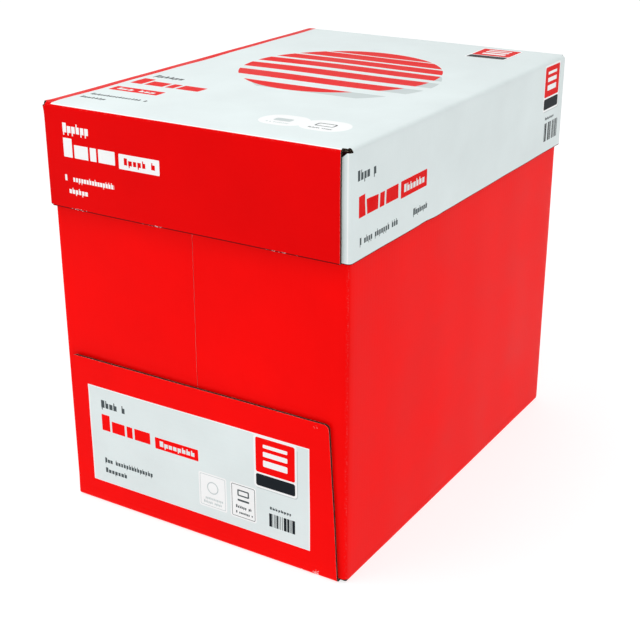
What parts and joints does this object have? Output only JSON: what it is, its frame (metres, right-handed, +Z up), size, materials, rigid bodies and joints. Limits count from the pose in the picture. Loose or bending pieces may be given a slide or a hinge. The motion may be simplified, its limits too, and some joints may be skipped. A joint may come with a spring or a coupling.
{
  "type": "carton of copier paper",
  "caption": "Folded corrugated tray with a telescoping lift-off lid, packed with wrapped reams of office paper",
  "frame": {"origin": "middle of the tray's underside", "axes": "+Z up out of the lid, +Y along the long side of the sheets, and the end with the low glued flap that the picture shows at -Y; +X along the short side"},
  "size_m": [0.222, 0.3152, 0.2772],
  "materials": {
    "tray_board": "printed corrugated board, satin varnish",
    "lid_board": "printed corrugated board, satin varnish",
    "ream_wrapper": "plain coated wrapping paper",
    "hot_melt": "set hot-melt glue"
  },
  "bodies": {
    "tray": {"tray": "tray_board", "ream_1": "ream_wrapper", "ream_2": "ream_wrapper", "ream_3": "ream_wrapper", "ream_4": "ream_wrapper", "ream_5": "ream_wrapper", "tray_front_glue": "hot_melt", "tray_back_glue": "hot_melt"},
    "lid": {"lid": "lid_board", "lid_front_glue": "hot_melt", "lid_back_glue": "hot_melt"}
  },
  "joints": [
    {"name": "lid_lift", "type": "slide", "parent": "tray", "child": "lid", "axis": [0, 0, 1], "range_m": [0, 0.1]}
  ]
}
